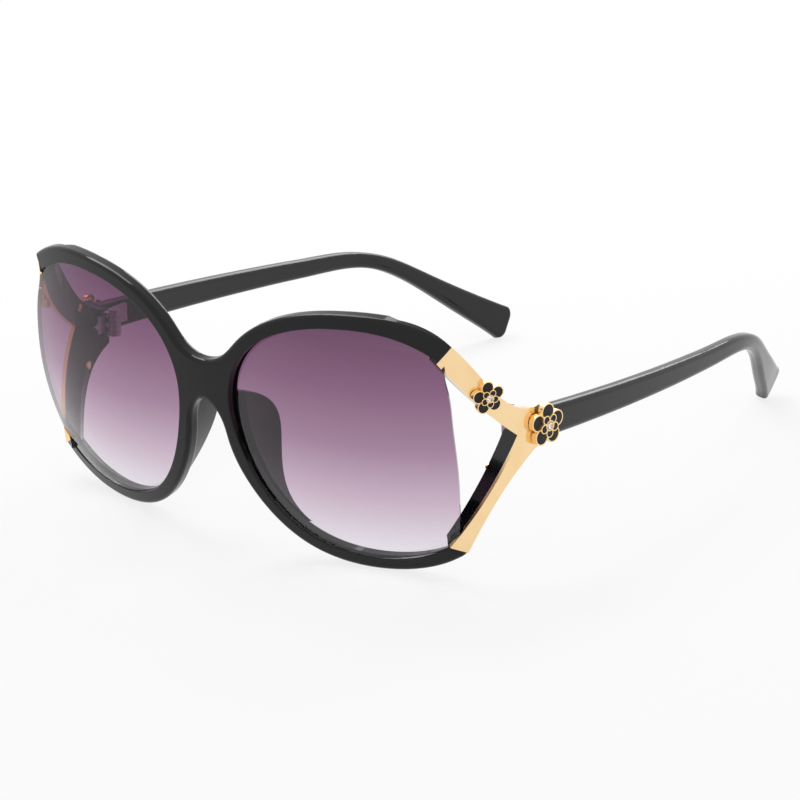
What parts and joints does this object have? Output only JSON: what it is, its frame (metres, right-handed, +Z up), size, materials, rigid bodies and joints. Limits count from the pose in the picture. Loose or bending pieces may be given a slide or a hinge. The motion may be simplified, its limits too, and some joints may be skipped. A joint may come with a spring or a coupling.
{
  "type": "oversized sunglasses",
  "caption": "Folding oversized sunglasses with open-sided rims, gradient lenses, forked gilt trim with blossom studs at the hinges and flared temple tips.",
  "frame": {"origin": "middle of the footprint, on the surface that the rims and the temple tips stand on", "axes": "+X to the wearer's left, -Y out of the front of the lenses, +Y along the open temples, +Z up"},
  "size_m": [0.145, 0.1814, 0.0634],
  "materials": {
    "frame_black": "gloss",
    "temple_black": "gloss",
    "pad_black": "gloss",
    "lens_tint": "polished",
    "trim_gold": "polished",
    "pin_gold": "polished",
    "flower_gold": "polished",
    "enamel_black": "gloss",
    "stone_clear": "polished",
    "hinge_steel": "satin",
    "screw_steel": "satin"
  },
  "bodies": {
    "front": {"front_frame": "frame_black", "lens_right": "lens_tint", "lens_left": "lens_tint", "nose_pad_right": "pad_black", "nose_pad_left": "pad_black", "trim_plate_right": "trim_gold", "trim_plate_left": "trim_gold", "trim_pins_right": "pin_gold", "trim_pins_left": "pin_gold", "flower_front_right": "flower_gold", "flower_front_left": "flower_gold", "flower_rear_right": "flower_gold", "flower_rear_left": "flower_gold", "enamel_front_right": "enamel_black", "enamel_front_left": "enamel_black", "enamel_rear_right": "enamel_black", "enamel_rear_left": "enamel_black", "stone_front_right": "stone_clear", "stone_front_left": "stone_clear", "stone_rear_right": "stone_clear", "stone_rear_left": "stone_clear", "hinge_front_leaf_right": "hinge_steel", "hinge_front_leaf_left": "hinge_steel", "hinge_screw_right": "screw_steel", "hinge_screw_left": "screw_steel"},
    "right_temple": {"temple_right": "temple_black", "hinge_temple_leaf_right": "hinge_steel"},
    "left_temple": {"temple_left": "temple_black", "hinge_temple_leaf_left": "hinge_steel"}
  },
  "joints": [
    {"name": "right_temple_fold", "type": "hinge", "parent": "front", "child": "right_temple", "pos_m": [0.06095, -0.05388, 0.03485], "axis": [0, 0, 1], "range_deg": [0, 82]},
    {"name": "left_temple_fold", "type": "hinge", "parent": "front", "child": "left_temple", "pos_m": [-0.06095, -0.05388, 0.03485], "axis": [0, 0, -1], "range_deg": [0, 88]}
  ]
}
